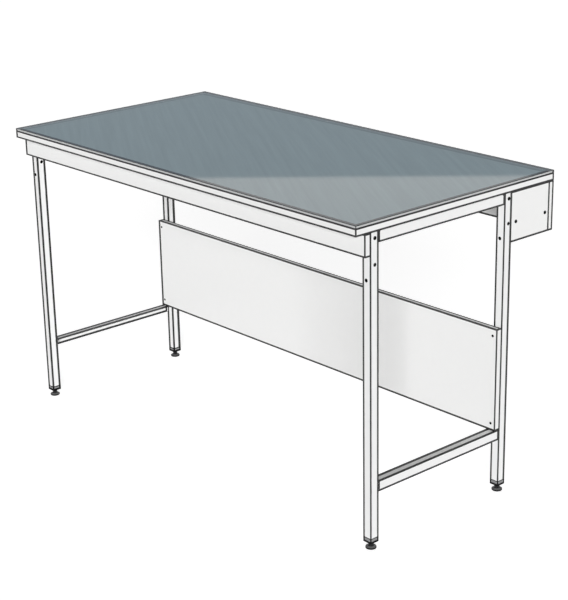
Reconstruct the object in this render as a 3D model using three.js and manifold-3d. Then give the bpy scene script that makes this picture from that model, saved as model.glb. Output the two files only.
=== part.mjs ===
// Weighing balance table: a tinted glass sheet on a laminated board, carried by a frame of square
// steel tube with levelling feet, a modesty panel and a cable duct behind the rear legs.
// Millimetres, +Z up. The origin is on the floor under the middle of the worktop, and -Y is the front.

import * as THREE from "three";
import { mergeVertices } from "three/addons/utils/BufferGeometryUtils.js";
import Module from "manifold-3d";

// Overall sizes
const tableLength = 1500;
const tableDepth = 750;
const tableHeight = 900;

// Fits
const seam = 0.3; // gap between two pieces that butt, rest or are welded face to face
const fit = 0.3; // radial play of a shank, spindle or stem in its hole

// Worktop
const glassThickness = 8;
const glassArris = 1; // chamfer ground along the sheet's edges
const boardThickness = 21;

// Square tube of the legs and the upper rails
const tubeSide = 30;
const tubeWall = 2;
const tubeOuterRadius = 2.5;
const tubeInnerRadius = 1;
const frontSetback = 50; // worktop's front edge to the front legs
const ductDepth = 170; // rear legs to the worktop's rear edge
const railEndPlate = 4; // plate welded into each end of a long rail

// Lower end rails, folded angles
const lowerRailSide = 30;
const lowerRailWall = 3;
const lowerRailTop = 193; // height of the flange's upper face

// Panels of laminated board
const panelThickness = 19;
const apronHeight = 60;
const modestyHeight = 300;
const ductHeight = 140;

// Angles that hold the duct's end panels
const bracketSide = 30;
const bracketWall = 3;
const bracketHeight = 60;

// Levelling feet
const footHeight = 35; // floor to the lower end of the leg tube
const collarHeight = 15.5; // part of the insert that shows below the tube
const taperHeight = 2.5;
const taperSide = 18;
const stemLength = 30; // part of the insert inside the tube
const stemCore = 20;
const finHeight = 3;
const finCount = 4;
const spindleRadius = 5;
const spindleLength = 58;
const spindleChamfer = 1;
const spannerFlats = 14; // across the flats of the spindle's hexagon
const spannerHeight = 4;
const padRadius = 15;
const padRimHeight = 4.5;
const padEdge = 0.8; // chamfer around the sole
const padHubRadius = 8;
const padHubTop = 9;
const padConeTop = 7;
const padSole = 3; // material under the spindle

// Screws and plugs
const frameScrewRadius = 3;
const frameHeadRadius = 5.25;
const frameHeadHeight = 2.6;
const socketFlats = 4;
const socketDepth = 1.6;
const frameScrewGrip = 12; // length beyond the leg
const plugHoleRadius = 3.6;
const plugHeadRadius = 5.2;
const plugHeadHeight = 1.4;
const plugStemLength = 6;
const outerPlugDrop = 84; // below the top of the leg
const frontPlugDrop = 125; // below the top of the leg
const panelScrewRadius = 1.75;
const panelHeadRadius = 4;
const panelHeadHeight = 2.4;
const panelScrewGrip = 10; // length beyond the panel
const panelScrewInset = 21; // from the panel's upper and lower edges
const ductScrewGrip = 4; // length beyond the bracket
const apronScrewDrop = 45; // below the top of the leg
const apronScrewGrip = 13; // length in the apron

// Fineness of round faces
const roundSides = 20;
const screwSides = 14;
const cornerSegments = 3;
const domeSteps = 3;

// Places that several pieces share
const halfLength = tableLength / 2;
const halfDepth = tableDepth / 2;
const halfTube = tubeSide / 2;
const boardTop = tableHeight - glassThickness - seam;
const boardBottom = boardTop - boardThickness;
const frameTop = boardBottom - seam;
const upperRailZ = frameTop - halfTube;
const legX = halfLength - halfTube;
const frontLegY = -halfDepth + frontSetback + halfTube;
const rearLegY = halfDepth - ductDepth - halfTube;
const rearLegFront = rearLegY - halfTube;
const rearLegBack = rearLegY + halfTube;
const railMiddleY = (frontLegY + rearLegY) / 2;
const railLength = rearLegY - frontLegY - tubeSide - 2 * seam;
const ductZ = frameTop - ductHeight / 2;
const ductScrewZ = frameTop - outerPlugDrop;
const ductPanelFace = halfLength - panelThickness; // inner face of an end panel
const backPanelFront = halfDepth - panelThickness;
const modestyBottom = lowerRailTop + seam;
const modestyTop = modestyBottom + modestyHeight;
const modestyY = rearLegFront - seam - panelThickness / 2;
const modestyFront = modestyY - panelThickness / 2;
const panelScrewHeights = { lower: modestyBottom + panelScrewInset, upper: modestyTop - panelScrewInset };
const apronY = frontLegY - halfTube - seam - panelThickness / 2;
const apronScrewZ = frameTop - apronScrewDrop;
const stemSide = tubeSide - 2 * tubeWall - 2 * fit;

const ends = [
  { name: "left", side: -1 },
  { name: "right", side: 1 },
];
const legRows = [
  { name: "front", y: frontLegY },
  { name: "rear", y: rearLegY },
];

// Turns that point a piece's own +Z along an axis of the table
const quarter = Math.PI / 2;
const facing = {
  left: [0, -quarter, 0],
  right: [0, quarter, 0],
  front: [quarter, 0, 0],
  rear: [-quarter, 0, 0],
};

const paintedSteel = new THREE.MeshStandardMaterial({ color: 0xececec, roughness: 0.5, metalness: 0 });
const laminate = new THREE.MeshStandardMaterial({ color: 0xf0f0ef, roughness: 0.6, metalness: 0 });
const tintedGlass = new THREE.MeshStandardMaterial({ color: 0x7a8b91, roughness: 0.08, metalness: 0 });
const greyPlastic = new THREE.MeshStandardMaterial({ color: 0x8f8f91, roughness: 0.6, metalness: 0 });
const darkPlastic = new THREE.MeshStandardMaterial({ color: 0x5a5a5c, roughness: 0.6, metalness: 0 });
const darkSteel = new THREE.MeshStandardMaterial({ color: 0x3c3c3e, roughness: 0.35, metalness: 1 });
const blackSteel = new THREE.MeshStandardMaterial({ color: 0x161616, roughness: 0.45, metalness: 0.3 });
const blackPlastic = new THREE.MeshStandardMaterial({ color: 0x18181a, roughness: 0.55, metalness: 0 });

const wasm = await Module();
wasm.setup();

function toSolid(geometry) {
  const bare = geometry.clone();
  bare.deleteAttribute("normal");
  bare.deleteAttribute("uv");
  const merged = mergeVertices(bare);
  const vertProperties = merged.getAttribute("position").array;
  const triVerts = new Uint32Array(merged.index.array);
  return new wasm.Manifold(new wasm.Mesh({ numProp: 3, vertProperties, triVerts }));
}

function toGeometry(solid) {
  const mesh = solid.getMesh();
  return new THREE.BufferGeometry()
    .setAttribute("position", new THREE.BufferAttribute(mesh.vertProperties, 3))
    .setIndex(new THREE.BufferAttribute(mesh.triVerts, 1));
}

function cut(geometry, tools) {
  return toGeometry(tools.reduce((solid, tool) => solid.subtract(toSolid(tool)), toSolid(geometry)));
}

function join(geometries) {
  return toGeometry(geometries.map(toSolid).reduce((whole, piece) => whole.add(piece)));
}

// A rod along X, Y or Z, centred on the origin
function rod(axis, radius, length, sides = screwSides) {
  const geometry = new THREE.CylinderGeometry(radius, radius, length, sides);
  if (axis === "x") geometry.rotateZ(quarter);
  if (axis === "z") geometry.rotateX(quarter);
  return geometry;
}

// A profile of [radius, height] points turned about Z
function turned(profile, sides) {
  const points = profile.map(([radius, height]) => new THREE.Vector2(radius, height));
  return new THREE.LatheGeometry(points, sides).rotateX(quarter);
}

function roundedSquare(side, radius, outline = new THREE.Shape()) {
  const centre = side / 2 - radius;
  outline.absarc(centre, centre, radius, 0, quarter);
  outline.absarc(-centre, centre, radius, quarter, 2 * quarter);
  outline.absarc(-centre, -centre, radius, 2 * quarter, 3 * quarter);
  outline.absarc(centre, -centre, radius, 3 * quarter, 4 * quarter);
  return outline;
}

// A bar of one section along Z, centred on the origin
function bar(section, length) {
  const options = { depth: length, bevelEnabled: false, curveSegments: cornerSegments };
  return new THREE.ExtrudeGeometry(section, options).translate(0, 0, -length / 2);
}

function tubeSection() {
  const section = roundedSquare(tubeSide, tubeOuterRadius);
  section.holes.push(roundedSquare(tubeSide - 2 * tubeWall, tubeInnerRadius, new THREE.Path()));
  return section;
}

// A folded angle's section: the fold is at the origin and the flanges run along +X and +Y
function angleSection(side, wall) {
  const section = new THREE.Shape();
  section.moveTo(wall, 0);
  section.lineTo(side, 0);
  section.lineTo(side, wall);
  section.lineTo(wall, wall);
  section.lineTo(wall, side);
  section.lineTo(0, side);
  section.lineTo(0, wall);
  section.absarc(wall, wall, wall, 2 * quarter, 3 * quarter);
  return section;
}

const table = new THREE.Group();

function add(name, geometry, material, position, rotation = [0, 0, 0]) {
  const mesh = new THREE.Mesh(geometry, material);
  mesh.name = name;
  mesh.position.set(...position);
  mesh.rotation.set(...rotation);
  table.add(mesh);
}

// Worktop
function glassSheet() {
  const halfX = halfLength - glassArris;
  const halfY = halfDepth - glassArris;
  const outline = new THREE.Shape();
  outline.moveTo(-halfX, -halfY);
  outline.lineTo(halfX, -halfY);
  outline.lineTo(halfX, halfY);
  outline.lineTo(-halfX, halfY);
  const depth = glassThickness - 2 * glassArris;
  const options = { depth, bevelThickness: glassArris, bevelSize: glassArris, bevelSegments: 1 };
  return new THREE.ExtrudeGeometry(outline, options).translate(0, 0, -depth / 2);
}

function makeWorktop() {
  const board = new THREE.BoxGeometry(tableLength, tableDepth, boardThickness);
  add("glass_top", glassSheet(), tintedGlass, [0, 0, tableHeight - glassThickness / 2]);
  add("worktop_board", board, laminate, [0, 0, boardTop - boardThickness / 2]);
}

// Legs, each drilled for the frame screw, the plugs and the screws that reach it
function legTube(rowName) {
  const length = frameTop - footHeight;
  const tube = bar(tubeSection(), length).translate(0, 0, footHeight + length / 2);
  const frontHole = (radius, z) => rod("y", radius, tubeSide).translate(0, -halfTube, z);
  const holes = [
    rod("x", frameScrewRadius + fit, 2 * tubeSide).translate(0, 0, upperRailZ),
    rod("x", plugHoleRadius, 2 * tubeSide).translate(0, 0, frameTop - outerPlugDrop),
    frontHole(plugHoleRadius, frameTop - frontPlugDrop),
  ];
  if (rowName === "front") {
    holes.push(rod("y", frameScrewRadius + fit, 2 * tubeSide).translate(0, 0, apronScrewZ));
  } else {
    for (const z of Object.values(panelScrewHeights)) holes.push(frontHole(panelScrewRadius + fit, z));
  }
  return cut(tube, holes);
}

function makeLegs() {
  for (const row of legRows) {
    for (const end of ends) {
      const position = [end.side * legX, row.y, 0];
      add(`leg_${row.name}_${end.name}`, legTube(row.name), paintedSteel, position);
    }
  }
}

// Rails
function longRail() {
  const length = 2 * (legX - halfTube - seam);
  const outside = bar(roundedSquare(tubeSide, tubeOuterRadius), length);
  const hollow = bar(roundedSquare(tubeSide - 2 * tubeWall, tubeInnerRadius), length - 2 * railEndPlate);
  return cut(outside, [hollow, rod("z", frameScrewRadius + fit, length + 2 * railEndPlate)]);
}

function makeRails() {
  for (const row of legRows) {
    add(`upper_long_rail_${row.name}`, longRail(), paintedSteel, [0, row.y, upperRailZ], facing.right);
  }
  for (const end of ends) {
    const upperPosition = [end.side * legX, railMiddleY, upperRailZ];
    add(`upper_end_rail_${end.name}`, bar(tubeSection(), railLength), paintedSteel, upperPosition, facing.rear);
    const angle = bar(angleSection(lowerRailSide, lowerRailWall), railLength);
    const lowerPosition = [end.side * halfLength, railMiddleY, lowerRailTop];
    const turn = end.side > 0 ? quarter : 0;
    add(`lower_end_rail_${end.name}`, angle, paintedSteel, lowerPosition, [-quarter, 0, turn]);
  }
}

// Apron and modesty panel
function makePanels() {
  const apron = new THREE.BoxGeometry(tableLength, panelThickness, apronHeight);
  const apronZ = frameTop - apronHeight / 2;
  const apronHoles = ends.map((end) => {
    const hole = rod("y", frameScrewRadius + fit, 2 * (apronScrewGrip + fit));
    return hole.translate(end.side * legX, panelThickness / 2, apronScrewZ - apronZ);
  });
  add("front_apron", cut(apron, apronHoles), laminate, [0, apronY, apronZ]);

  const panel = new THREE.BoxGeometry(tableLength, panelThickness, modestyHeight);
  const panelZ = (modestyBottom + modestyTop) / 2;
  const panelHoles = [];
  for (const end of ends) {
    for (const z of Object.values(panelScrewHeights)) {
      const hole = screwHole(panelScrewRadius, panelHeadRadius, panelHeadHeight, panelThickness);
      hole.rotateX(quarter);
      panelHoles.push(hole.translate(end.side * legX, -panelThickness / 2, z - panelZ));
    }
  }
  add("modesty_panel", cut(panel, panelHoles), laminate, [0, modestyY, panelZ]);
}

// Cable duct behind the rear legs
function makeDuct() {
  const backPosition = [0, halfDepth - panelThickness / 2, ductZ];
  const back = new THREE.BoxGeometry(tableLength, panelThickness, ductHeight);
  add("duct_back_panel", back, laminate, backPosition);

  const endFront = rearLegBack + seam;
  const endRear = backPanelFront - seam;
  const endDepth = endRear - endFront;
  const endY = (endFront + endRear) / 2;
  const screwYs = { front: endFront + bracketSide / 2, rear: endRear - bracketSide / 2 };
  const turns = { front_left: 0, front_right: quarter, rear_right: 2 * quarter, rear_left: 3 * quarter };

  for (const end of ends) {
    const panel = new THREE.BoxGeometry(panelThickness, endDepth, ductHeight);
    const holes = Object.values(screwYs).map((y) =>
      rod("x", frameScrewRadius + fit, 2 * panelThickness).translate(0, y - endY, ductScrewZ - ductZ),
    );
    const panelX = end.side * (halfLength - panelThickness / 2);
    add(`duct_end_panel_${end.name}`, cut(panel, holes), laminate, [panelX, endY, ductZ]);

    for (const [row, y] of [["front", endFront], ["rear", endRear]]) {
      const turn = turns[`${row}_${end.name}`];
      const onFirstFlange = turn === quarter || turn === 3 * quarter;
      const hole = rod(onFirstFlange ? "y" : "x", frameScrewRadius + fit, 2 * bracketSide);
      const middle = bracketSide / 2;
      hole.translate(onFirstFlange ? middle : 0, onFirstFlange ? 0 : middle, 0);
      const bracket = cut(bar(angleSection(bracketSide, bracketWall), bracketHeight), [hole]);
      const position = [end.side * (ductPanelFace - seam), y, ductScrewZ];
      add(`duct_bracket_${row}_${end.name}`, bracket, paintedSteel, position, [0, 0, turn]);
      const shank = panelThickness + seam + bracketWall + ductScrewGrip;
      const screwPosition = [end.side * halfLength, screwYs[row], ductScrewZ];
      add(`duct_screw_${row}_${end.name}`, buttonScrew(shank), blackSteel, screwPosition, facing[end.name]);
    }
  }
}

// Levelling feet
function footInsert() {
  const taperTop = footHeight - collarHeight;
  const taperBottom = taperTop - taperHeight;
  const collar = bar(roundedSquare(tubeSide, tubeOuterRadius), collarHeight - seam);
  const core = bar(roundedSquare(stemCore, tubeInnerRadius), stemLength + collarHeight);
  const upperCorner = (tubeSide - 2 * tubeOuterRadius) / Math.SQRT2;
  const taper = new THREE.CylinderGeometry(upperCorner, taperSide / Math.SQRT2, taperHeight, 4);
  taper.rotateY(Math.PI / 4).rotateX(quarter);
  const pieces = [
    collar.translate(0, 0, taperTop + (collarHeight - seam) / 2),
    core.translate(0, 0, taperTop + (stemLength + collarHeight) / 2),
    taper.translate(0, 0, taperBottom + taperHeight / 2),
  ];
  const finPitch = (stemLength - finHeight) / (finCount - 1);
  for (let fin = 0; fin < finCount; fin++) {
    const z = footHeight + seam + fin * finPitch + finHeight / 2 - seam;
    pieces.push(bar(roundedSquare(stemSide, tubeInnerRadius), finHeight).translate(0, 0, z));
  }
  const bore = rod("z", spindleRadius + fit, 4 * (stemLength + footHeight), roundSides);
  return cut(join(pieces), [bore]);
}

function footSpindle() {
  const bottom = padSole + fit;
  const top = bottom + spindleLength;
  const shaft = turned(
    [
      [0, bottom],
      [spindleRadius, bottom],
      [spindleRadius, top - spindleChamfer],
      [spindleRadius - spindleChamfer, top],
      [0, top],
    ],
    roundSides,
  );
  const hexagon = rod("z", spannerFlats / Math.sqrt(3), spannerHeight, 6);
  return join([shaft, hexagon.translate(0, 0, padHubTop + seam + spannerHeight / 2)]);
}

function footPad() {
  return turned(
    [
      [0, 0],
      [padRadius - padEdge, 0],
      [padRadius, padEdge],
      [padRadius, padRimHeight],
      [padHubRadius, padConeTop],
      [padHubRadius, padHubTop],
      [spindleRadius + fit, padHubTop],
      [spindleRadius + fit, padSole],
      [0, padSole],
    ],
    roundSides,
  );
}

function makeFeet() {
  for (const row of legRows) {
    for (const end of ends) {
      const position = [end.side * legX, row.y, 0];
      add(`foot_insert_${row.name}_${end.name}`, footInsert(), greyPlastic, position);
      add(`foot_spindle_${row.name}_${end.name}`, footSpindle(), darkSteel, position);
      add(`foot_pad_${row.name}_${end.name}`, footPad(), darkPlastic, position);
    }
  }
}

// Screws and plugs: the head rises along +Z from the face it sits on, and the shank runs down
function domeProfile(radius, height) {
  const profile = [];
  for (let step = 0; step <= domeSteps; step++) {
    const angle = (quarter * step) / domeSteps;
    profile.push([radius * Math.cos(angle), height * Math.sin(angle)]);
  }
  profile[domeSteps][0] = 0;
  return profile;
}

function buttonScrew(shankLength) {
  const screw = turned(
    [
      [0, -shankLength],
      [frameScrewRadius, -shankLength],
      [frameScrewRadius, seam],
      ...domeProfile(frameHeadRadius, frameHeadHeight).map(([radius, height]) => [radius, height + seam]),
    ],
    screwSides,
  );
  const socket = rod("z", socketFlats / Math.sqrt(3), 2 * socketDepth, 6);
  return cut(screw, [socket.translate(0, 0, seam + frameHeadHeight)]);
}

function legPlug() {
  return turned(
    [
      [0, -plugStemLength],
      [plugHoleRadius - fit, -plugStemLength],
      [plugHoleRadius - fit, seam],
      ...domeProfile(plugHeadRadius, plugHeadHeight).map(([radius, height]) => [radius, height + seam]),
    ],
    screwSides,
  );
}

function countersunkScrew(shankLength) {
  const screw = turned(
    [
      [0, -shankLength],
      [panelScrewRadius, -shankLength],
      [panelScrewRadius, -panelHeadHeight],
      [panelHeadRadius, 0],
      [0, 0],
    ],
    screwSides,
  );
  const recess = rod("z", panelScrewRadius / 2, panelHeadHeight, 4);
  return cut(screw, [recess]);
}

// The countersunk hole for such a screw, down from the face at the origin
function screwHole(shankRadius, headRadius, headHeight, depth) {
  return turned(
    [
      [0, -2 * depth],
      [shankRadius + fit, -2 * depth],
      [shankRadius + fit, -headHeight - fit],
      [headRadius + fit, -fit],
      [headRadius + fit, depth],
      [0, depth],
    ],
    screwSides,
  );
}

function makeLegFasteners() {
  const frameShank = tubeSide + seam + frameScrewGrip;
  for (const row of legRows) {
    for (const end of ends) {
      const tag = `${row.name}_${end.name}`;
      const outerX = end.side * halfLength;
      const innerX = end.side * (halfLength - tubeSide);
      const inward = end.side > 0 ? facing.left : facing.right;
      const plugZ = frameTop - outerPlugDrop;
      const frontPosition = [end.side * legX, row.y - halfTube, frameTop - frontPlugDrop];
      add(`frame_screw_${tag}`, buttonScrew(frameShank), blackSteel, [outerX, row.y, upperRailZ], facing[end.name]);
      add(`leg_plug_outer_${tag}`, legPlug(), blackPlastic, [outerX, row.y, plugZ], facing[end.name]);
      add(`leg_plug_inner_${tag}`, legPlug(), blackPlastic, [innerX, row.y, plugZ], inward);
      add(`leg_plug_front_${tag}`, legPlug(), blackPlastic, frontPosition, facing.front);
    }
  }
}

function makePanelScrews() {
  for (const end of ends) {
    for (const [level, z] of Object.entries(panelScrewHeights)) {
      const screw = countersunkScrew(panelThickness + panelScrewGrip);
      add(`panel_screw_${level}_${end.name}`, screw, blackSteel, [end.side * legX, modestyFront, z], facing.front);
    }
    const apronShank = tubeSide + seam + apronScrewGrip;
    const apronPosition = [end.side * legX, frontLegY + halfTube, apronScrewZ];
    add(`apron_screw_${end.name}`, buttonScrew(apronShank), blackSteel, apronPosition, facing.rear);
  }
}

makeWorktop();
makeLegs();
makeRails();
makePanels();
makeDuct();
makeFeet();
makeLegFasteners();
makePanelScrews();

export default table;
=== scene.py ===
"""Finishes for a weighing balance table: tinted glass on laminated boards, a powder-coated tube frame
with weld beads, levelling feet with cut threads, and a plain studio to show them in."""

import math

import bmesh
import bpy
from mathutils import Euler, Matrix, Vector


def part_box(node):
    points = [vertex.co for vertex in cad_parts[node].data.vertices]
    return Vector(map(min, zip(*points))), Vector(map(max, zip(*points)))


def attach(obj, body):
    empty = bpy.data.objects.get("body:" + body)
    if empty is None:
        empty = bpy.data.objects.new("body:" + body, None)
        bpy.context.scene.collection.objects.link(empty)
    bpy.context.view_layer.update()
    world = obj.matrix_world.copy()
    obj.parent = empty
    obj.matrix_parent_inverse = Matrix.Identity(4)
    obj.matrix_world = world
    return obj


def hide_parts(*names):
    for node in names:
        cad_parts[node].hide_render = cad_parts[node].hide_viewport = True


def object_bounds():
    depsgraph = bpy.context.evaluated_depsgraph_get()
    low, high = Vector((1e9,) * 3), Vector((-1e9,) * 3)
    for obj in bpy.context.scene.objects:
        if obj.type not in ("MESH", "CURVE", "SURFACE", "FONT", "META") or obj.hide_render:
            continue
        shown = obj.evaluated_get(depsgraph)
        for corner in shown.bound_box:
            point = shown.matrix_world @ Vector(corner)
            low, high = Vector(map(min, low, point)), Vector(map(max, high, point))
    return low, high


bl_info = {
    "name": "Weighing Balance Table",
    "version": (1, 0, 0),
    "blender": (4, 5, 0),
    "location": "View3D > Sidebar > Balance Table",
    "description": "Finishes and fine detail for a laboratory weighing balance table",
    "category": "Object",
}

ENDS = {"left": -1, "right": 1}
CORNERS = ("front_left", "front_right", "rear_left", "rear_right")
SAME_PLACE = 0.001  # closer than this is the same place, in metres as all lengths here
WHITE = (1.0, 1.0, 1.0)
NOISE_RANGE = (0.25, 0.75)  # where most values of a noise lie
DULL = 0.06  # specular level of dull plastic and oxide

# Dark lines along the edges of the pieces, painted shade at their edges and joints
LINE_COLOUR = (0.004, 0.004, 0.0043)
LINE_FADE = (1.1, 0.9)  # where a line starts and where it is full, in shares of its width
LEVEL_LINE = 0.006  # width on level faces
FAR_LINE = 0.0043  # added at left and rear edges, where the camera sees one face only
FAR_END_SHARE = 1.5  # times wider on pieces at the left end or in the rear row
LOW_LINE = 0.0028  # added at lower edges
NEAR_LOW_LINE = 0.002  # the same for the worktop, the apron and the feet
FAR_BOARD_SHADE_LINE = 0.006  # painted shade added at the left edges of boards
REAR_BOARD_SHADE_LINE = 0.0035  # painted shade added at the rear edges of boards along the table's rear
FOOT_LINE = 0.0026  # width of the lines of painted shade on the foot inserts
HIDDEN_END = 0.02  # how far a box of lines runs on past a covered end

# Glass sheet
STREAK_TURN = math.radians(-33.0)
SHEET_LINE = 0.011  # width of the dark line of painted shade on the level faces
FAR_SHEET_LINE = 0.007  # added at the left and rear edges
FAR_SHEET_SHADE = 0.03  # added there for the shaded strip beside the line
SHEET_SHADE = 0.66  # share of the tint in that strip

# Weld beads
BEAD_STEP = 0.003  # between points along a bead
BEAD_SIZE = 0.9  # mean thickness, as a share of the radius
BEAD_WAVE = 0.14  # how far the thickness wanders from the mean
BEAD_RHYTHM = 2.1  # radians of the wave from point to point
BEAD_START = 0.004  # from the outer face of a tube
BEAD_TOP = 0.003  # from the top of a tube
ANGLE_WALL = 0.003  # of the lower rails
ANGLE_END = 0.002  # from the free edges of an angle

# Levelling feet and plugs
TAPER_HEIGHT = 0.0025  # tapered underside of an insert
SHADED_END = 0.0015  # dark end above the taper
UNDERSIDE = (-0.1, -0.3)  # rise of the face direction where painted shade on the undersides starts and is full
PAD_RIM = (0.35, 0.2)  # the same for the painted shade on the sides and undersides of the pads
PAD_TONE = 0.55  # colour of the pads as a share of the inserts'
PLUG_COLOUR = (0.004, 0.004, 0.004)
SPINDLE_RADIUS = 0.005
SPINDLE_SIDES = 24
PLAIN_END = 0.006
HEXAGON_HEIGHT = 0.004
TIP_HEIGHT = 0.001
PITCH_STEPS = 8
CREST_STEEPNESS = 1.4

# Studio
FLOOR_SIDE = 60.0
FLOOR_GLOW = 0.8  # added to the light that the floor gets, for the rays that see it
SHEET_SIDE = (0.1836, -0.1798, 0.9664)  # direction of the white half of the room
SHEET_EDGE = 0.001  # half the softness of the edge of that half
SUN_WIDTH = math.radians(25.0)
KEY_FROM = (47.0, 13.0)  # degrees from the front towards the right, and degrees up
FILL_FROM = (225.0, 3.0)

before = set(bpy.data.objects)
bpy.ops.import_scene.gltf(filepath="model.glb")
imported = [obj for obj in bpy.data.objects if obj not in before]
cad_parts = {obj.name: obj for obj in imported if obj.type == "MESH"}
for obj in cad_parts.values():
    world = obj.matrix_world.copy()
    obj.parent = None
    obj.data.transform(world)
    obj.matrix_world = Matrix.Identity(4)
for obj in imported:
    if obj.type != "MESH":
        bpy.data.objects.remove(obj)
cad_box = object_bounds()


class GlassSettings(bpy.types.PropertyGroup):
    """The tinted sheet on top"""

    colour: bpy.props.FloatVectorProperty(
        name="Tint",
        description="Colour of the tinted sheet",
        subtype="COLOR",
        size=3,
        min=0.0,
        max=1.0,
        default=(0.46, 0.6, 0.65),
    )
    opacity: bpy.props.FloatProperty(
        name="Opacity",
        description="How much of the board below each face of the sheet hides",
        subtype="FACTOR",
        min=0.0,
        max=1.0,
        default=0.8,
    )
    edge_colour: bpy.props.FloatVectorProperty(
        name="Ground edge",
        description="Colour of the ground edges all round the sheet",
        subtype="COLOR",
        size=3,
        min=0.0,
        max=1.0,
        default=(0.62, 0.63, 0.635),
    )
    # Dark lines of painted shade on each side of the ground edges
    arris_line: bpy.props.FloatProperty(
        name="Arris line",
        description="Width of the dark line on each side of the ground edges",
        subtype="DISTANCE",
        unit="LENGTH",
        min=0.0,
        default=0.0018,
    )


class BoardSettings(bpy.types.PropertyGroup):
    """The laminated boards"""

    colour: bpy.props.FloatVectorProperty(
        name="Laminate",
        description="Colour of the laminate",
        subtype="COLOR",
        size=3,
        min=0.0,
        max=1.0,
        default=(0.87, 0.87, 0.865),
    )
    arris: bpy.props.FloatProperty(
        name="Arris",
        description="Rounding along the edges of the boards",
        subtype="DISTANCE",
        unit="LENGTH",
        min=0.0,
        default=0.0004,
    )
    # Dark lines along the edges, partly the glue lines of the edge bands and partly painted shade
    glue_and_shade_line: bpy.props.FloatProperty(
        name="Glue line",
        description="Width of the dark line on each side of an edge, where the edge band meets the face",
        subtype="DISTANCE",
        unit="LENGTH",
        min=0.0,
        default=0.003,
    )


class SteelSettings(bpy.types.PropertyGroup):
    """The powder-coated frame"""

    colour: bpy.props.FloatVectorProperty(
        name="Powder coat",
        description="Colour of the powder coat",
        subtype="COLOR",
        size=3,
        min=0.0,
        max=1.0,
        default=(0.87, 0.87, 0.87),
    )
    # Dark lines painted along the corners of the tubes as shade
    edge_shade_width: bpy.props.FloatProperty(
        name="Edge shade",
        description="Width of the dark worn line on each side of the corners of the tubes",
        subtype="DISTANCE",
        unit="LENGTH",
        min=0.0,
        default=0.003,
    )
    weld_radius: bpy.props.FloatProperty(
        name="Weld bead",
        description="Radius of the weld beads in the inner corners",
        subtype="DISTANCE",
        unit="LENGTH",
        min=0.0,
        default=0.0016,
    )


class FootSettings(bpy.types.PropertyGroup):
    """The levelling feet"""

    plastic_colour: bpy.props.FloatVectorProperty(
        name="Plastic",
        description="Colour of the foot inserts and pads",
        subtype="COLOR",
        size=3,
        min=0.0,
        max=1.0,
        default=(0.28, 0.28, 0.285),
    )
    thread_pitch: bpy.props.FloatProperty(
        name="Thread pitch",
        description="Rise of the thread in one turn",
        subtype="DISTANCE",
        unit="LENGTH",
        min=0.0005,
        default=0.0015,
    )
    thread_depth: bpy.props.FloatProperty(
        name="Thread depth",
        description="Depth of the thread's groove",
        subtype="DISTANCE",
        unit="LENGTH",
        min=0.0,
        default=0.0009,
    )
    spanner_flats: bpy.props.FloatProperty(
        name="Spanner flats",
        description="Distance across the flats of the spindle's hexagon",
        subtype="DISTANCE",
        unit="LENGTH",
        min=0.0,
        default=0.014,
    )


class StageSettings(bpy.types.PropertyGroup):
    """Camera, light, mirrored wall and floor"""

    camera_location: bpy.props.FloatVectorProperty(
        name="Camera location",
        description="Where the camera stands",
        subtype="TRANSLATION",
        unit="LENGTH",
        size=3,
        default=(3.4459, -2.9888, 2.0212),
    )
    camera_rotation: bpy.props.FloatVectorProperty(
        name="Camera rotation",
        description="How the camera is turned",
        subtype="EULER",
        unit="ROTATION",
        size=3,
        default=(math.radians(70.784), math.radians(1.086), math.radians(48.212)),
    )
    lens: bpy.props.FloatProperty(
        name="Lens",
        description="Focal length in millimetres for a picture 36 mm high",
        subtype="DISTANCE_CAMERA",
        min=1.0,
        default=96.93,
    )
    key_strength: bpy.props.FloatProperty(
        name="Key light",
        description="Strength of the soft light from the camera's side",
        min=0.0,
        default=3.72,
    )
    fill_strength: bpy.props.FloatProperty(
        name="Fill light",
        description="Strength of the soft light from behind",
        min=0.0,
        default=2.6,
    )
    ambient: bpy.props.FloatProperty(
        name="Ambient",
        description="Even light from all sides",
        min=0.0,
        default=0.08,
    )
    wall_colour: bpy.props.FloatVectorProperty(
        name="Wall",
        description="Colour of the wall that the glass mirrors below the white sheet",
        subtype="COLOR",
        size=3,
        min=0.0,
        max=1.0,
        default=(0.38, 0.435, 0.49),
    )
    floor_colour: bpy.props.FloatVectorProperty(
        name="Floor",
        description="Colour of the floor",
        subtype="COLOR",
        size=3,
        min=0.0,
        max=1.0,
        default=(0.6, 0.6, 0.6),
    )


class TableSettings(bpy.types.PropertyGroup):
    """All settings of the table"""

    glass: bpy.props.PointerProperty(type=GlassSettings)
    board: bpy.props.PointerProperty(type=BoardSettings)
    steel: bpy.props.PointerProperty(type=SteelSettings)
    foot: bpy.props.PointerProperty(type=FootSettings)
    stage: bpy.props.PointerProperty(type=StageSettings)


def new_node(tree, kind, inputs=None, **settings):
    """Adds a shader node with the given settings and socket values."""
    made = tree.nodes.new(kind)
    for name, value in settings.items():
        setattr(made, name, value)
    for name, value in (inputs or {}).items():
        made.inputs[name].default_value = value
    return made


def new_material(name, roughness, metallic=0.0):
    """A material with its Principled shader, and the shader itself."""
    material = bpy.data.materials.new(name)
    material.use_nodes = True
    shader = material.node_tree.nodes["Principled BSDF"]
    shader.inputs["Roughness"].default_value = roughness
    shader.inputs["Metallic"].default_value = metallic
    return material, shader


def feed(tree, socket, value):
    """Links a socket to another one, or sets it to a plain number, vector or colour."""
    if isinstance(value, bpy.types.NodeSocket):
        tree.links.new(value, socket)
    elif socket.type == "RGBA":
        socket.default_value = (*value, 1.0)
    else:
        socket.default_value = value


def math_node(tree, operation, first, second, clamp=False):
    """Two numbers put together by an operation, and kept between 0 and 1 if asked."""
    made = new_node(tree, "ShaderNodeMath", operation=operation, use_clamp=clamp)
    feed(tree, made.inputs[0], first)
    feed(tree, made.inputs[1], second)
    return made.outputs["Value"]


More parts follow.
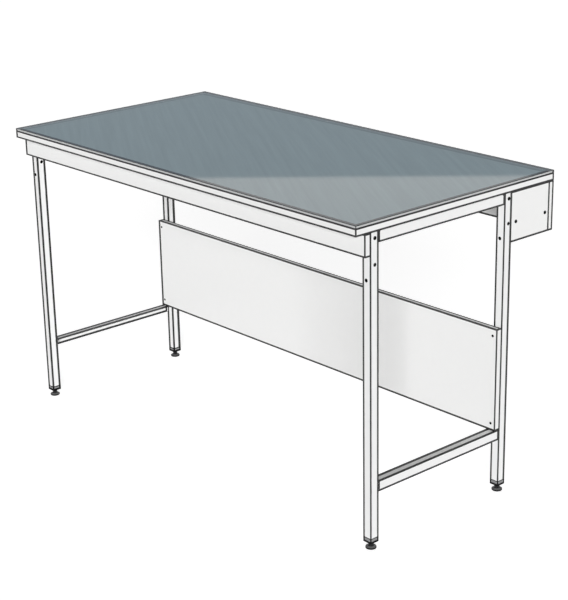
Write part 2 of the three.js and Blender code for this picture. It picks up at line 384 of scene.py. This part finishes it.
def vector_node(tree, operation, first, second, output="Vector"):
    """Two vectors put together by an operation."""
    made = new_node(tree, "ShaderNodeVectorMath", operation=operation)
    feed(tree, made.inputs[0], first)
    feed(tree, made.inputs[1], second)
    return made.outputs[output]


def mapped(tree, value, from_low=0.0, from_high=1.0, to_low=0.0, to_high=1.0):
    """A number carried from one range to another, and kept within it."""
    ranges = {"From Min": from_low, "From Max": from_high, "To Min": to_low, "To Max": to_high}
    made = new_node(tree, "ShaderNodeMapRange", ranges)
    tree.links.new(value, made.inputs["Value"])
    return made.outputs["Result"]


def axes_of(tree, vector):
    """The X, Y and Z of a vector."""
    axes = new_node(tree, "ShaderNodeSeparateXYZ")
    tree.links.new(vector, axes.inputs["Vector"])
    return axes.outputs["X"], axes.outputs["Y"], axes.outputs["Z"]


def facing(tree):
    """The X, Y and Z of the direction that a face looks in."""
    return axes_of(tree, new_node(tree, "ShaderNodeNewGeometry").outputs["True Normal"])


def levelness(tree):
    """How level a face is: 1 for a level face and 0 for an upright one, whichever way it looks."""
    upward = facing(tree)[2]
    size = new_node(tree, "ShaderNodeMath", operation="ABSOLUTE")
    tree.links.new(upward, size.inputs[0])
    return size.outputs["Value"]


def surface_noise(tree, scale, detail=3.0, stretch=(1.0, 1.0, 1.0), turn=0.0):
    """Noise laid out in metres on the object, stretched along its axes or along axes turned about Z."""
    place = new_node(tree, "ShaderNodeTexCoord")
    layout = {"Scale": stretch, "Rotation": (0.0, 0.0, turn)}
    mapping = new_node(tree, "ShaderNodeMapping", layout, vector_type="TEXTURE")
    noise = new_node(tree, "ShaderNodeTexNoise", {"Scale": scale, "Detail": detail, "Roughness": 0.6})
    tree.links.new(place.outputs["Object"], mapping.inputs["Vector"])
    tree.links.new(mapping.outputs["Vector"], noise.inputs["Vector"])
    return noise.outputs["Fac"]


def spread(tree, noise, low=0.0, high=1.0):
    """A noise carried to the range from low to high."""
    return mapped(tree, noise, *NOISE_RANGE, low, high)


def blended(tree, factor, first, second):
    """A colour between two others, each a socket or a plain colour."""
    mix = new_node(tree, "ShaderNodeMix", data_type="RGBA")
    tree.links.new(factor, mix.inputs["Factor"])
    feed(tree, mix.inputs["A"], first)
    feed(tree, mix.inputs["B"], second)
    return mix.outputs["Result"]


def toned(colour, share):
    """The colour times a share."""
    return tuple(channel * share for channel in colour)


def clouded(tree, noise, colour, darkest, lightest):
    """A colour that wanders with a noise between two shares of itself."""
    return blended(tree, spread(tree, noise), toned(colour, darkest), toned(colour, lightest))


def bump(tree, shader, height, distance, strength):
    """Raises the surface by a noise."""
    made = new_node(tree, "ShaderNodeBump", {"Distance": distance, "Strength": strength})
    tree.links.new(height, made.inputs["Height"])
    tree.links.new(made.outputs["Normal"], shader.inputs["Normal"])


def lined_box(low, high, left, rear, below):
    """A box for edge lines that are wider by so much along its left, rear and lower edges."""
    return low, high, Vector((left, rear, below))


def wider_faces(tree):
    """The shares of the added widths that a face takes at its left, rear and lower edges.

    Level and front faces are lined wider at the left, level and right faces at the rear, all faces below.
    """
    level = levelness(tree)
    rightward, backward, _ = facing(tree)
    shares = new_node(tree, "ShaderNodeCombineXYZ", {"Z": 1.0})
    tree.links.new(math_node(tree, "SUBTRACT", level, backward, clamp=True), shares.inputs["X"])
    tree.links.new(math_node(tree, "ADD", level, rightward, clamp=True), shares.inputs["Y"])
    return shares.outputs["Vector"]


def box_edges(tree, box, width, level_width):
    """A mask that is 1 along the edges of a box, with one width on upright faces and one on level faces."""
    low, high, extra = box
    place = new_node(tree, "ShaderNodeTexCoord").outputs["Object"]
    wider = vector_node(tree, "MULTIPLY", wider_faces(tree), extra)
    low_extra = vector_node(tree, "MULTIPLY", wider, (1.0, 0.0, 1.0))
    high_extra = vector_node(tree, "MULTIPLY", wider, (0.0, 1.0, 0.0))
    from_low = vector_node(tree, "SUBTRACT", vector_node(tree, "SUBTRACT", place, low), low_extra)
    to_high = vector_node(tree, "SUBTRACT", vector_node(tree, "SUBTRACT", high, place), high_extra)
    # A point lies by an edge where it is close to two sides of the box, so the second distance counts
    in_x, in_y, in_z = axes_of(tree, vector_node(tree, "MINIMUM", from_low, to_high))
    nearer = math_node(tree, "MINIMUM", in_x, in_y)
    farther = math_node(tree, "MAXIMUM", in_x, in_y)
    second = math_node(tree, "MAXIMUM", nearer, math_node(tree, "MINIMUM", farther, in_z))
    reach = mapped(tree, levelness(tree), to_low=width, to_high=level_width)
    return mapped(tree, math_node(tree, "DIVIDE", second, reach), *LINE_FADE)


def glass_finish(settings):
    """Tinted glass with fine polishing streaks and ground edges, with painted shade as dark lines along the
    edges and a darker strip inside the left and rear edges.
    """
    material, shader = new_material("tinted_glass", roughness=0.06)
    tree = material.node_tree
    colour = tuple(settings.colour)
    streaks = surface_noise(tree, scale=65.0, detail=2.0, stretch=(25.0, 1.0, 1.0), turn=STREAK_TURN)
    clear = clouded(tree, streaks, colour, darkest=0.94, lightest=1.06)
    # Painted shade: a darker strip inside the left and rear edges, where the sheet's lower edge shows
    # through
    shaded = lined_box(*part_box("glass_top"), left=FAR_SHEET_SHADE, rear=FAR_SHEET_SHADE, below=0.0)
    shade = box_edges(tree, shaded, settings.arris_line, SHEET_LINE)
    face = blended(tree, shade, clear, toned(colour, SHEET_SHADE))
    ground = blended(tree, levelness(tree), tuple(settings.edge_colour), face)
    # Lines of painted shade along the sheet's edges
    sheet = lined_box(*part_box("glass_top"), left=FAR_SHEET_LINE, rear=FAR_SHEET_LINE, below=0.0)
    lines = box_edges(tree, sheet, settings.arris_line, SHEET_LINE)
    tree.links.new(blended(tree, lines, ground, LINE_COLOUR), shader.inputs["Base Color"])
    wipe = surface_noise(tree, scale=27.0, detail=2.0, stretch=(3.0, 1.0, 1.0), turn=STREAK_TURN)
    tree.links.new(spread(tree, wipe, low=0.01, high=0.02), shader.inputs["Roughness"])
    shader.inputs["IOR"].default_value = 1.5
    shader.inputs["Alpha"].default_value = settings.opacity
    return material


def laminate_finish(name, settings):
    """Pearl-textured laminate with edge bands, and dark lines along the edges that are partly their glue
    lines and partly painted shade, for one board.
    """
    material, shader = new_material(f"laminate_{name}", roughness=0.5)
    tree = material.node_tree
    mottle = surface_noise(tree, scale=60.0, detail=4.0)
    face = clouded(tree, mottle, settings.colour, darkest=0.985, lightest=1.0)
    low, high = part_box(name)
    at_rear = high.y > cad_box[1].y - SAME_PLACE
    # The rear legs cover the front edges of the duct's ends
    if name.startswith("duct_end"):
        low.y -= HIDDEN_END
    rear = REAR_BOARD_SHADE_LINE if at_rear else 0.0
    below = LOW_LINE if name.startswith(("modesty", "duct")) else NEAR_LOW_LINE
    # Dark lines along the edges: partly glue lines, partly painted shade, wider at the left and lower edges
    # and at the rear along the table's rear
    board = lined_box(low, high, left=FAR_BOARD_SHADE_LINE, rear=rear, below=below)
    lines = box_edges(tree, board, settings.glue_and_shade_line, LEVEL_LINE)
    tree.links.new(blended(tree, lines, face, LINE_COLOUR), shader.inputs["Base Color"])
    sheen = surface_noise(tree, scale=25.0)
    tree.links.new(spread(tree, sheen, low=0.44, high=0.56), shader.inputs["Roughness"])
    pearl = surface_noise(tree, scale=900.0, detail=2.0)
    bump(tree, shader, pearl, distance=0.0001, strength=0.25)
    return material


def powder_coat(name, settings, box=None, edge_shade_share=1.0):
    """Satin powder coat with a fine orange peel, with painted shade as dark lines along the edges of a box.
    """
    material, shader = new_material(f"powder_coat_{name}", roughness=0.45)
    tree = material.node_tree
    cloud = surface_noise(tree, scale=40.0)
    face = clouded(tree, cloud, settings.colour, darkest=0.985, lightest=1.0)
    if box is not None:
        # Painted shade: dark lines along the edges of the box
        edge_shaded = box_edges(tree, box, settings.edge_shade_width * edge_shade_share, LEVEL_LINE * edge_shade_share)
        face = blended(tree, edge_shaded, face, LINE_COLOUR)
    tree.links.new(face, shader.inputs["Base Color"])
    sheen = surface_noise(tree, scale=120.0)
    tree.links.new(spread(tree, sheen, low=0.38, high=0.52), shader.inputs["Roughness"])
    peel = surface_noise(tree, scale=700.0, detail=1.0)
    bump(tree, shader, peel, distance=0.00012, strength=0.3)
    return material


def moulded_plastic(name, colour, dark_slope=None, box=None, line=FOOT_LINE):
    """Moulded plastic with a fine spark-eroded grain.

    It gets painted shade on faces that look less upward than a given slope, and lines of painted shade
    along the edges of a box, where these are given.
    """
    material, shader = new_material(name, roughness=0.55)
    shader.inputs["Specular IOR Level"].default_value = DULL
    tree = material.node_tree
    cloud = surface_noise(tree, scale=150.0)
    face = clouded(tree, cloud, colour, darkest=0.9, lightest=1.06)
    # Painted shade on faces that look less upward than the given slope
    if dark_slope is not None:
        upward = facing(tree)[2]
        face = blended(tree, mapped(tree, upward, *dark_slope), face, LINE_COLOUR)
    # Lines of painted shade along the edges of the box
    if box is not None:
        face = blended(tree, box_edges(tree, box, line, line), face, LINE_COLOUR)
    tree.links.new(face, shader.inputs["Base Color"])
    tree.links.new(spread(tree, cloud, low=0.48, high=0.64), shader.inputs["Roughness"])
    grain = surface_noise(tree, scale=2500.0, detail=1.0)
    bump(tree, shader, grain, distance=0.00006, strength=0.35)
    return material


def plated_steel():
    """Dark plated steel with turning marks."""
    material, shader = new_material("dark_plate", roughness=0.35, metallic=1.0)
    tree = material.node_tree
    groove = (0.02, 0.02, 0.021)
    ridge = (0.045, 0.045, 0.047)
    marks = surface_noise(tree, scale=400.0, detail=2.0, stretch=(1.0, 1.0, 0.17))
    tree.links.new(blended(tree, spread(tree, marks), groove, ridge), shader.inputs["Base Color"])
    tree.links.new(spread(tree, marks, low=0.28, high=0.46), shader.inputs["Roughness"])
    return material


def black_oxide():
    """Black screw steel, slightly rubbed."""
    material, shader = new_material("black_oxide", roughness=0.45)
    shader.inputs["Specular IOR Level"].default_value = DULL
    tree = material.node_tree
    whole = (0.002, 0.002, 0.002)
    rubbed = (0.005, 0.005, 0.005)
    rub = surface_noise(tree, scale=500.0)
    tree.links.new(blended(tree, spread(tree, rub), whole, rubbed), shader.inputs["Base Color"])
    tree.links.new(spread(tree, rub, low=0.38, high=0.58), shader.inputs["Roughness"])
    return material


def nodes_named(*starts):
    """The frame's objects whose names start with one of these words."""
    return [node for name, node in sorted(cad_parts.items()) if name.startswith(starts)]


def node_name(node):
    """The frame's name of an object."""
    return next(name for name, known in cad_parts.items() if known == node)


def coat(nodes, material):
    """Gives the nodes one material."""
    for node in nodes:
        node.data.materials.clear()
        node.data.materials.append(material)


def weld_faces(node, smooth):
    """Joins a node's loose triangles for the modifiers that follow."""
    if "custom_normal" in node.data.attributes:
        node.data.attributes.remove(node.data.attributes["custom_normal"])
    node.data.polygons.foreach_set("use_smooth", [smooth] * len(node.data.polygons))
    weld = node.modifiers.new("weld", "WELD")
    weld.merge_threshold = 1e-6


def ease_edges(nodes, width):
    """Rounds the edges of the boards a little."""
    for node in nodes:
        weld_faces(node, False)
        flats = node.modifiers.new("flats", "DECIMATE")
        flats.decimate_type = "DISSOLVE"
        flats.angle_limit = math.radians(1.0)
        arris = node.modifiers.new("arris", "BEVEL")
        arris.width = width
        arris.segments = 2
        arris.limit_method = "ANGLE"
        arris.angle_limit = math.radians(50.0)


def smooth_round(nodes):
    """Shades round pieces smooth and keeps their sharp edges."""
    for node in nodes:
        weld_faces(node, True)
        split = node.modifiers.new("sharp", "EDGE_SPLIT")
        split.split_angle = math.radians(32.0)


def add_piece(name, mesh, material, body):
    """Adds a new piece of the table that moves with a body."""
    piece = bpy.data.objects.new(name, mesh)
    bpy.context.scene.collection.objects.link(piece)
    piece.data.materials.append(material)
    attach(piece, body)
    return piece


def ring_of(mesh, centre, height, radii):
    """A ring of vertices at a height, one for each radius."""
    ring = []
    for index, radius in enumerate(radii):
        angle = math.tau * index / len(radii)
        point = (centre.x + radius * math.cos(angle), centre.y + radius * math.sin(angle), height)
        ring.append(mesh.verts.new(point))
    return ring


def hexagon_radii(across_flats):
    """The radii of a hexagon, one for each side of a spindle."""
    radii = []
    for side in range(SPINDLE_SIDES):
        from_corner = (math.tau * side / SPINDLE_SIDES + math.pi / 2) % (math.pi / 3)
        radii.append(across_flats / 2 / math.cos(from_corner - math.pi / 6))
    return radii


def thread_radii(level, core, depth):
    """The radii of a thread with flat crests, one for each side of a spindle, so many steps up."""
    radii = []
    for side in range(SPINDLE_SIDES):
        phase = (level / PITCH_STEPS - side / SPINDLE_SIDES) % 1.0
        crest = 1.0 - abs(2.0 * phase - 1.0)
        radii.append(core + depth * min(1.0, CREST_STEEPNESS * crest))
    return radii


def spindle_mesh(name, low, high, settings):
    """A levelling spindle from low to high: plain end, hexagon, then a cut thread to a chamfered tip."""
    centre = (low + high) / 2
    core = SPINDLE_RADIUS - settings.thread_depth
    hexagon_bottom = low.z + PLAIN_END
    hexagon_top = hexagon_bottom + HEXAGON_HEIGHT
    plain = [SPINDLE_RADIUS] * SPINDLE_SIDES
    hexagon = hexagon_radii(settings.spanner_flats)

    mesh = bmesh.new()
    rings = [
        ring_of(mesh, centre, low.z, plain),
        ring_of(mesh, centre, hexagon_bottom, plain),
        ring_of(mesh, centre, hexagon_bottom, hexagon),
        ring_of(mesh, centre, hexagon_top, hexagon),
        ring_of(mesh, centre, hexagon_top, [core] * SPINDLE_SIDES),
    ]
    step = settings.thread_pitch / PITCH_STEPS
    count = int((high.z - TIP_HEIGHT - hexagon_top) / step)
    for level in range(1, count):
        radii = thread_radii(level, core, settings.thread_depth)
        rings.append(ring_of(mesh, centre, hexagon_top + level * step, radii))
    rings.append(ring_of(mesh, centre, high.z, [core - TIP_HEIGHT / 2] * SPINDLE_SIDES))

    for lower, upper in zip(rings, rings[1:]):
        for side in range(SPINDLE_SIDES):
            after = (side + 1) % SPINDLE_SIDES
            mesh.faces.new((lower[side], lower[after], upper[after], upper[side]))
    mesh.faces.new(reversed(rings[0]))
    mesh.faces.new(rings[-1])
    made = bpy.data.meshes.new(name)
    mesh.to_mesh(made)
    mesh.free()
    return made


def bead_curve(name, paths, radius):
    """Weld beads along the paths, a little uneven as hand-laid beads are."""
    curve = bpy.data.curves.new(name, "CURVE")
    curve.dimensions = "3D"
    curve.bevel_depth = radius
    curve.bevel_resolution = 2
    curve.use_fill_caps = True
    for path in paths:
        points = []
        for start, end in zip(path, path[1:]):
            pieces = max(1, round((end - start).length / BEAD_STEP))
            points += [start.lerp(end, piece / pieces) for piece in range(pieces)]
        points.append(path[-1])
        spline = curve.splines.new("POLY")
        spline.points.add(len(points) - 1)
        for index, point in enumerate(points):
            spline.points[index].co = (*point, 1.0)
            spline.points[index].radius = BEAD_SIZE + BEAD_WAVE * math.sin(BEAD_RHYTHM * index)
    return curve


def end_faces(low, high, side):
    """Where the inner and the outer face of a piece at one end of the table lie along X."""
    return (high.x, low.x) if side < 0 else (low.x, high.x)


def rail_paths():
    """The inner corners between the rails and the legs, where the welds are."""
    paths = []
    for end, side in ENDS.items():
        low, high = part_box(f"upper_end_rail_{end}")
        inner, outer = end_faces(low, high, side)
        for y in (low.y, high.y):
            under = Vector((outer - side * BEAD_START, y, low.z))
            corner = Vector((inner, y, low.z))
            paths.append([under, corner, Vector((inner, y, high.z - BEAD_TOP))])
        low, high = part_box(f"lower_end_rail_{end}")
        inner, outer = end_faces(low, high, side)
        web = outer - side * ANGLE_WALL
        flange = high.z - ANGLE_WALL
        for y in (low.y, high.y):
            foot = Vector((web, y, low.z + ANGLE_END))
            corner = Vector((web, y, flange))
            paths.append([foot, corner, Vector((inner + side * ANGLE_END, y, flange))])
    for row in ("front", "rear"):
        low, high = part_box(f"upper_long_rail_{row}")
        top = high.z - BEAD_TOP
        for x in (low.x, high.x):
            corners = ((low.y, top), (low.y, low.z), (high.y, low.z), (high.y, top))
            paths.append([Vector((x, y, z)) for y, z in corners])
    return paths


class BALANCE_TABLE_OT_worktop(bpy.types.Operator):
    """Finish the glass sheet"""

    bl_idname = "balance_table.worktop"
    bl_label = "Worktop"

    def execute(self, context):
        settings = context.scene.balance_table.glass
        coat(nodes_named("glass_top"), glass_finish(settings))
        return {"FINISHED"}


class BALANCE_TABLE_OT_boards(bpy.types.Operator):
    """Finish the worktop board, the apron, the modesty panel and the duct"""

    bl_idname = "balance_table.boards"
    bl_label = "Boards"

    def execute(self, context):
        settings = context.scene.balance_table.board
        boards = nodes_named("worktop_board", "front_apron", "modesty_panel", "duct_back", "duct_end")
        for board in boards:
            coat([board], laminate_finish(node_name(board), settings))
        ease_edges(boards, settings.arris)
        return {"FINISHED"}


class BALANCE_TABLE_OT_steelwork(bpy.types.Operator):
    """Finish the legs, rails and brackets and lay the weld beads"""

    bl_idname = "balance_table.steelwork"
    bl_label = "Steelwork"

    def execute(self, context):
        settings = context.scene.balance_table.steel
        for piece in nodes_named("leg_front", "leg_rear", "upper_", "lower_", "duct_bracket"):
            name = node_name(piece)
            low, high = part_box(name)
            # The foot inserts cover the lower ends of the legs, and the board covers the tops
            if name.startswith("leg"):
                low.z -= HIDDEN_END
            if name.startswith(("leg", "upper")):
                high.z += HIDDEN_END
            end_share = FAR_END_SHARE if name.endswith("left") else 1.0
            row_share = FAR_END_SHARE if "rear" in name else 1.0
            box = lined_box(low, high, left=FAR_LINE * end_share, rear=FAR_LINE * row_share, below=LOW_LINE)
            coat([piece], powder_coat(name, settings, box, end_share))
        beads = bead_curve("weld_beads", rail_paths(), settings.weld_radius)
        add_piece(beads.name, beads, powder_coat(beads.name, settings), "frame")
        return {"FINISHED"}


class BALANCE_TABLE_OT_feet(bpy.types.Operator):
    """Finish the levelling feet and cut the threads of their spindles"""

    bl_idname = "balance_table.feet"
    bl_label = "Levelling Feet"

    def execute(self, context):
        settings = context.scene.balance_table.foot
        plastic = tuple(settings.plastic_colour)
        for corner in CORNERS:
            # The collar of an insert is as wide as the leg and shows below it
            low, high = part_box(f"leg_{corner}")
            high.z = low.z
            low.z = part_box(f"foot_insert_{corner}")[0].z + TAPER_HEIGHT + SHADED_END
            # Lines of painted shade along the collar's edges, and a dark end below it down to the taper
            collar = lined_box(low, high, left=FAR_LINE, rear=FAR_LINE, below=NEAR_LOW_LINE)
            line = FOOT_LINE * (FAR_END_SHARE if corner.endswith("left") else 1.0)
            finish = moulded_plastic(f"foot_insert_finish_{corner}", plastic, UNDERSIDE, collar, line)
            coat([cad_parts[f"foot_insert_{corner}"]], finish)
        pads = nodes_named("foot_pad")
        coat(pads, moulded_plastic("foot_pad_finish", toned(plastic, PAD_TONE), PAD_RIM))
        smooth_round(pads)
        plating = plated_steel()
        for corner in CORNERS:
            node = f"foot_spindle_{corner}"
            low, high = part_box(node)
            mesh = spindle_mesh(f"threaded_spindle_{corner}", low, high, settings)
            piece = add_piece(mesh.name, mesh, plating, f"spindle_{corner}")
            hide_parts(node)
        return {"FINISHED"}


class BALANCE_TABLE_OT_fasteners(bpy.types.Operator):
    """Finish the screws and the plugs"""

    bl_idname = "balance_table.fasteners"
    bl_label = "Fasteners"

    def execute(self, context):
        screws = nodes_named("frame_screw", "duct_screw", "apron_screw", "panel_screw")
        plugs = nodes_named("leg_plug")
        coat(screws, black_oxide())
        coat(plugs, moulded_plastic("leg_plug_finish", PLUG_COLOUR))
        smooth_round(screws + plugs)
        return {"FINISHED"}


def seen_rays(tree):
    """1 for the rays that show the background: seen straight, mirrored or through glass."""
    path = new_node(tree, "ShaderNodeLightPath")
    mirrored = math_node(tree, "MAXIMUM", path.outputs["Is Camera Ray"], path.outputs["Is Glossy Ray"])
    return math_node(tree, "MAXIMUM", mirrored, path.outputs["Is Transmission Ray"])


def floor_material(settings):
    """A pale floor that takes shadows and reads as white."""
    material = bpy.data.materials.new("floor")
    material.use_nodes = True
    tree = material.node_tree
    tree.nodes.clear()
    matt = new_node(tree, "ShaderNodeBsdfDiffuse", {"Color": (*settings.floor_colour, 1.0)})
    glow = new_node(tree, "ShaderNodeEmission")
    tree.links.new(math_node(tree, "MULTIPLY", seen_rays(tree), FLOOR_GLOW), glow.inputs["Strength"])
    both = new_node(tree, "ShaderNodeAddShader")
    tree.links.new(matt.outputs["BSDF"], both.inputs[0])
    tree.links.new(glow.outputs["Emission"], both.inputs[1])
    output = new_node(tree, "ShaderNodeOutputMaterial")
    tree.links.new(both.outputs["Shader"], output.inputs["Surface"])
    return material


def studio_world(settings):
    """White all round, with a white sheet overhead and a grey wall that show only in reflections."""
    world = bpy.data.worlds.new("studio")
    world.use_nodes = True
    tree = world.node_tree
    tree.nodes.clear()
    place = new_node(tree, "ShaderNodeTexCoord").outputs["Generated"]
    side = vector_node(tree, "DOT_PRODUCT", place, SHEET_SIDE, output="Value")
    sheet = mapped(tree, side, -SHEET_EDGE, SHEET_EDGE)
    room = blended(tree, sheet, settings.wall_colour, WHITE)
    path = new_node(tree, "ShaderNodeLightPath")
    wall = blended(tree, path.outputs["Is Glossy Ray"], WHITE, room)
    level = mapped(tree, seen_rays(tree), to_low=settings.ambient, to_high=1.0)
    background = new_node(tree, "ShaderNodeBackground")
    tree.links.new(wall, background.inputs["Color"])
    tree.links.new(level, background.inputs["Strength"])
    output = new_node(tree, "ShaderNodeOutputWorld")
    tree.links.new(background.outputs["Background"], output.inputs["Surface"])
    return world


def soft_sun(name, azimuth, elevation, strength):
    """A wide soft light with no glare, from an angle round from the front and an angle up, in degrees."""
    lamp = bpy.data.lights.new(name, "SUN")
    lamp.energy = strength
    lamp.angle = SUN_WIDTH
    light = bpy.data.objects.new(name, lamp)
    light.rotation_euler = Euler((math.radians(90.0 - elevation), 0.0, math.radians(azimuth)))
    light.visible_glossy = False
    bpy.context.scene.collection.objects.link(light)


class BALANCE_TABLE_OT_stage(bpy.types.Operator):
    """Set up the floor, the light and the camera"""

    bl_idname = "balance_table.stage"
    bl_label = "Studio"

    def execute(self, context):
        scene = context.scene
        settings = scene.balance_table.stage
        scene.view_settings.view_transform = "Standard"
        scene.world = studio_world(settings)

        floor_mesh = bpy.data.meshes.new("floor")
        half = FLOOR_SIDE / 2
        corners = [(-half, -half, 0.0), (half, -half, 0.0), (half, half, 0.0), (-half, half, 0.0)]
        floor_mesh.from_pydata(corners, [], [(0, 1, 2, 3)])
        floor = bpy.data.objects.new("floor", floor_mesh)
        floor.data.materials.append(floor_material(settings))
        scene.collection.objects.link(floor)

        soft_sun("key_light", *KEY_FROM, settings.key_strength)
        soft_sun("fill_light", *FILL_FROM, settings.fill_strength)

        camera = bpy.data.cameras.new("camera")
        camera.sensor_fit = "VERTICAL"
        camera.sensor_height = 36.0
        camera.lens = settings.lens
        viewer = bpy.data.objects.new("camera", camera)
        viewer.location = settings.camera_location
        viewer.rotation_euler = Euler(settings.camera_rotation)
        scene.collection.objects.link(viewer)
        scene.camera = viewer
        return {"FINISHED"}


class BALANCE_TABLE_PT_sidebar(bpy.types.Panel):
    """Lists the settings of the table and the steps that finish it"""

    bl_idname = "BALANCE_TABLE_PT_sidebar"
    bl_label = "Balance Table"
    bl_space_type = "VIEW_3D"
    bl_region_type = "UI"
    bl_category = "Balance Table"

    def draw(self, context):
        settings = context.scene.balance_table
        for group, names in PANEL_ROWS.items():
            box = self.layout.box()
            for name in names:
                box.prop(getattr(settings, group), name)
        for step in STEPS:
            self.layout.operator(step.bl_idname)


PANEL_ROWS = {
    "glass": ("colour", "opacity", "edge_colour", "arris_line"),
    "board": ("colour", "arris", "glue_and_shade_line"),
    "steel": ("colour", "edge_shade_width", "weld_radius"),
    "foot": ("plastic_colour", "thread_pitch", "thread_depth", "spanner_flats"),
    "stage": (
        "camera_location",
        "camera_rotation",
        "lens",
        "key_strength",
        "fill_strength",
        "ambient",
        "wall_colour",
        "floor_colour",
    ),
}
STEPS = (
    BALANCE_TABLE_OT_worktop,
    BALANCE_TABLE_OT_boards,
    BALANCE_TABLE_OT_steelwork,
    BALANCE_TABLE_OT_feet,
    BALANCE_TABLE_OT_fasteners,
    BALANCE_TABLE_OT_stage,
)
CLASSES = (
    GlassSettings,
    BoardSettings,
    SteelSettings,
    FootSettings,
    StageSettings,
    TableSettings,
    *STEPS,
    BALANCE_TABLE_PT_sidebar,
)


def register():
    """Adds the settings, the steps and the panel."""
    for cls in CLASSES:
        bpy.utils.register_class(cls)
    bpy.types.Scene.balance_table = bpy.props.PointerProperty(type=TableSettings)


def unregister():
    """Takes the settings, the steps and the panel away again."""
    del bpy.types.Scene.balance_table
    for cls in reversed(CLASSES):
        bpy.utils.unregister_class(cls)


def main():
    """Finishes the table step by step."""
    register()
    bpy.ops.balance_table.worktop()
    bpy.ops.balance_table.boards()
    bpy.ops.balance_table.steelwork()
    bpy.ops.balance_table.feet()
    bpy.ops.balance_table.fasteners()
    bpy.ops.balance_table.stage()


if __name__ == "__main__":
    main()
